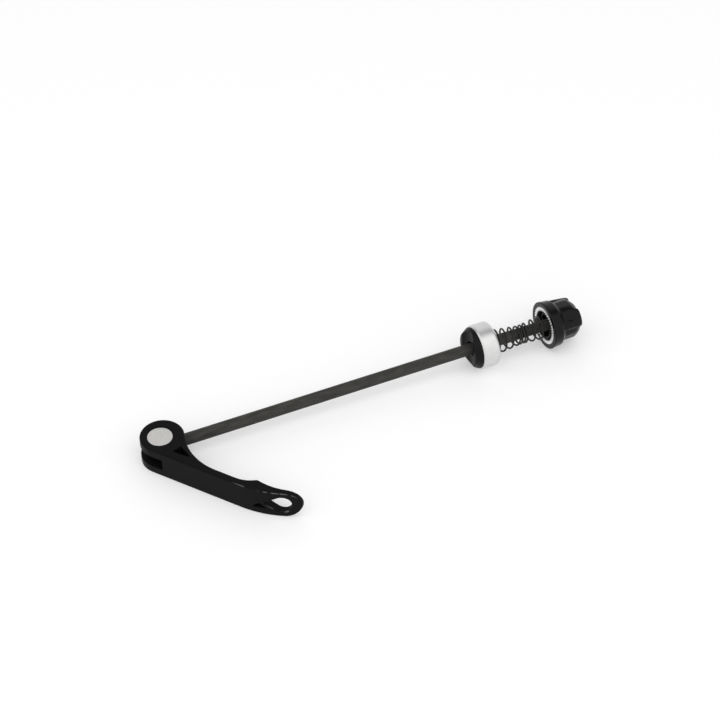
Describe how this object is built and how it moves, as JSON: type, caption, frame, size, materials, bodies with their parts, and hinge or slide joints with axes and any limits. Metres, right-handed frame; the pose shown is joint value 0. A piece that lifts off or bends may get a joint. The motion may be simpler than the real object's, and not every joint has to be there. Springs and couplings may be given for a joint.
{
  "type": "quick release skewer",
  "caption": "Bicycle wheel quick release skewer: a slim steel rod with a cam lever at one end, a sliding end cap, conical centring springs and a ribbed adjusting nut.",
  "frame": {"origin": "on the rod's axis, midway between the clamping faces when the skewer is closed on its hub", "axes": "+X along the rod from the lever to the nut, +Z along the lever's pivot"},
  "size_m": [0.195, 0.0619, 0.0206],
  "materials": {
    "rod_steel": "dark drawn steel",
    "bright_steel": "bright plated",
    "lever_black": "satin black",
    "saddle_plastic": "moulded black",
    "cap_alloy": "turned satin silver",
    "spring_wire": "blackened wire",
    "nut_black": "semi-gloss black"
  },
  "bodies": {
    "rod": {"rod": "rod_steel", "cam_pin": "bright_steel"},
    "lever": {"lever": "lever_black"},
    "cap_carrier": {"lever_side_spring": "spring_wire"},
    "cap": {"end_cap": "cap_alloy", "cam_saddle": "saddle_plastic"},
    "nut_carrier": {"nut_side_spring": "spring_wire"},
    "nut": {"nut_body": "nut_black", "nut_toothed_ring": "bright_steel"}
  },
  "joints": [
    {"name": "lever_swing", "type": "hinge", "parent": "rod", "child": "lever", "pos_m": [-0.09241, 0, 0], "axis": [0, 0, 1], "range_deg": [-236, 0]},
    {"name": "cap_slide", "type": "slide", "parent": "rod", "child": "cap_carrier", "axis": [1, 0, 0], "range_m": [-0.124, 0]},
    {"name": "cap_turn", "type": "hinge", "parent": "cap_carrier", "child": "cap", "pos_m": [0.0549, 0, 0], "axis": [1, 0, 0], "continuous": true},
    {"name": "nut_travel", "type": "slide", "parent": "rod", "child": "nut_carrier", "axis": [1, 0, 0], "range_m": [-0.0065, 0], "deforming": ["nut_side_spring"]},
    {"name": "nut_turn", "type": "hinge", "parent": "nut_carrier", "child": "nut", "pos_m": [0.0799, 0, 0], "axis": [1, 0, 0], "range_deg": [-2880, 0]}
  ],
  "couplings": [
    {"joint": "nut_travel", "follows": "nut_turn", "m_per_rad": 0.00012732}
  ]
}
